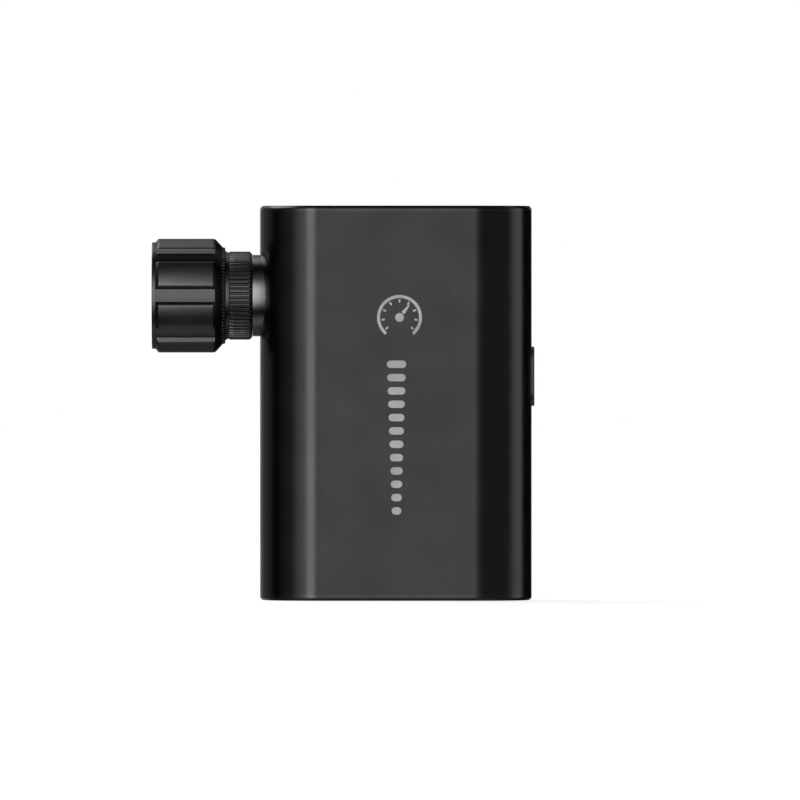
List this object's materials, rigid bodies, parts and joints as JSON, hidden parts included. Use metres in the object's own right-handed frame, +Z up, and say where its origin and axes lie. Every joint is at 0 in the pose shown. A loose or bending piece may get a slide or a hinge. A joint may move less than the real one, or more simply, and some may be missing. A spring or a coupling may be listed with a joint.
{
  "type": "pocket electric air pump",
  "caption": "Palm-sized electric tyre pump: black extruded housing with a flat front and rounded sides, ribbed screw-down valve chuck on its side and a flush power button.",
  "frame": {"origin": "centre of the lower end cap's flat outer face, on which the pump stands", "axes": "+Z up along the extruded housing; the flat front face looks to -Y; the valve chuck points to -X and the power button to +X"},
  "size_m": [0.063, 0.028, 0.065],
  "materials": {
    "anodised_body": "satin black anodised",
    "anodised_caps": "satin black anodised",
    "anodised_chuck": "black anodised, knurled",
    "neck_metal": "turned, dark grey",
    "anodised_grip": "satin black anodised",
    "seal_rubber": "smooth",
    "foam": "open-cell foam",
    "steel": "machined",
    "screw_steel": "black oxide",
    "bearing_steel": "polished",
    "brass": "turned",
    "copper": "enamelled wire",
    "cylinder_metal": "honed",
    "frame_metal": "die cast",
    "piston_plastic": "glass-filled nylon",
    "seal_white": "PTFE",
    "gear_plastic": "acetal",
    "bell_plastic": "moulded",
    "magnet": "sintered",
    "pouch_foil": "laminated foil",
    "tray_plastic": "moulded",
    "board_green": "solder mask",
    "chip_black": "moulded epoxy",
    "button_grey": "satin moulded",
    "wire_red": "silicone insulation",
    "wire_black": "silicone insulation",
    "socket_steel": "stamped",
    "led_clear": "clear moulded"
  },
  "bodies": {
    "housing": {"housing_shell": "anodised_body", "top_cap": "anodised_caps", "bottom_cap": "anodised_caps", "top_cap_screws": "screw_steel", "bottom_cap_screws": "screw_steel", "outlet_neck": "neck_metal", "neck_o_ring": "seal_rubber", "valve_gasket": "seal_rubber", "core_plunger": "brass", "valve_spring": "steel", "cylinder_tube": "cylinder_metal", "cylinder_head": "cylinder_metal", "head_gasket": "seal_rubber", "head_screws": "steel", "crank_bearings": "bearing_steel", "crank_axle": "steel", "motor_can": "steel", "motor_end_bell": "bell_plastic", "motor_bushings": "brass", "motor_magnets": "magnet", "motor_brushes": "copper", "motor_screws": "steel", "drive_frame": "frame_metal", "bottom_spacer": "tray_plastic", "motor_foam": "foam", "battery_cell_inner": "pouch_foil", "battery_cell_outer": "pouch_foil", "cell_link": "steel", "battery_lead_red": "wire_red", "battery_lead_black": "wire_black", "motor_lead_red": "wire_red", "motor_lead_black": "wire_black", "main_board": "board_green", "board_chips": "chip_black", "tact_switch": "chip_black", "usb_socket": "socket_steel", "usb_tongue": "chip_black", "status_led": "led_clear", "light_pipe": "led_clear"},
    "rotor": {"motor_shaft": "steel", "armature_core": "steel", "armature_windings": "copper", "commutator": "copper", "pinion": "brass"},
    "crank": {"crank_gear": "gear_plastic", "counterweight": "steel"},
    "piston": {"piston": "piston_plastic", "piston_seal": "seal_white", "seal_retainer": "cylinder_metal", "wrist_pin": "steel"},
    "rod": {"connecting_rod": "frame_metal", "big_end_bearing": "bearing_steel", "crank_pin": "steel"},
    "valve": {"check_valve": "brass"},
    "button": {"power_button": "button_grey", "switch_pin": "button_grey"},
    "cap_carrier": {"slip_washer": "seal_white"},
    "cap": {"chuck_cap": "anodised_chuck", "grip_sleeve": "anodised_grip"}
  },
  "joints": [
    {"name": "motor_spin", "type": "hinge", "parent": "housing", "child": "rotor", "pos_m": [-0.008, 0, 0.0353], "axis": [0, 0, 1], "continuous": true},
    {"name": "crank_spin", "type": "hinge", "parent": "housing", "child": "crank", "pos_m": [0.0045, 0, 0.0369], "axis": [0, 0, 1], "continuous": true},
    {"name": "piston_slide", "type": "slide", "parent": "housing", "child": "piston", "axis": [1, 0, 0], "range_m": [0, 0.007]},
    {"name": "rod_swing", "type": "hinge", "parent": "piston", "child": "rod", "pos_m": [-0.0124, 0, 0.0502], "axis": [0, 0, 1], "range_deg": [-15.1, 15.1]},
    {"name": "valve_lift", "type": "slide", "parent": "housing", "child": "valve", "axis": [-1, 0, 0], "range_m": [0, 0.0008], "stiffness_N_per_m": 200, "springref_m": -0.001, "deforming": ["valve_spring"]},
    {"name": "button_press", "type": "slide", "parent": "housing", "child": "button", "axis": [-1, 0, 0], "range_m": [0, 0.00035], "stiffness_N_per_m": 3000, "springref_m": -0.0002},
    {"name": "cap_travel", "type": "slide", "parent": "housing", "child": "cap_carrier", "axis": [-1, 0, 0], "range_m": [0, 0.003]},
    {"name": "cap_turn", "type": "hinge", "parent": "cap_carrier", "child": "cap", "pos_m": [-0.0237, 0, 0.0502], "axis": [-1, 0, 0], "range_deg": [0, 1080]}
  ],
  "couplings": [
    {"joint": "crank_spin", "follows": "motor_spin", "ratio": -0.31579},
    {"joint": "cap_turn", "follows": "cap_travel", "rad_per_m": 6283.1}
  ]
}
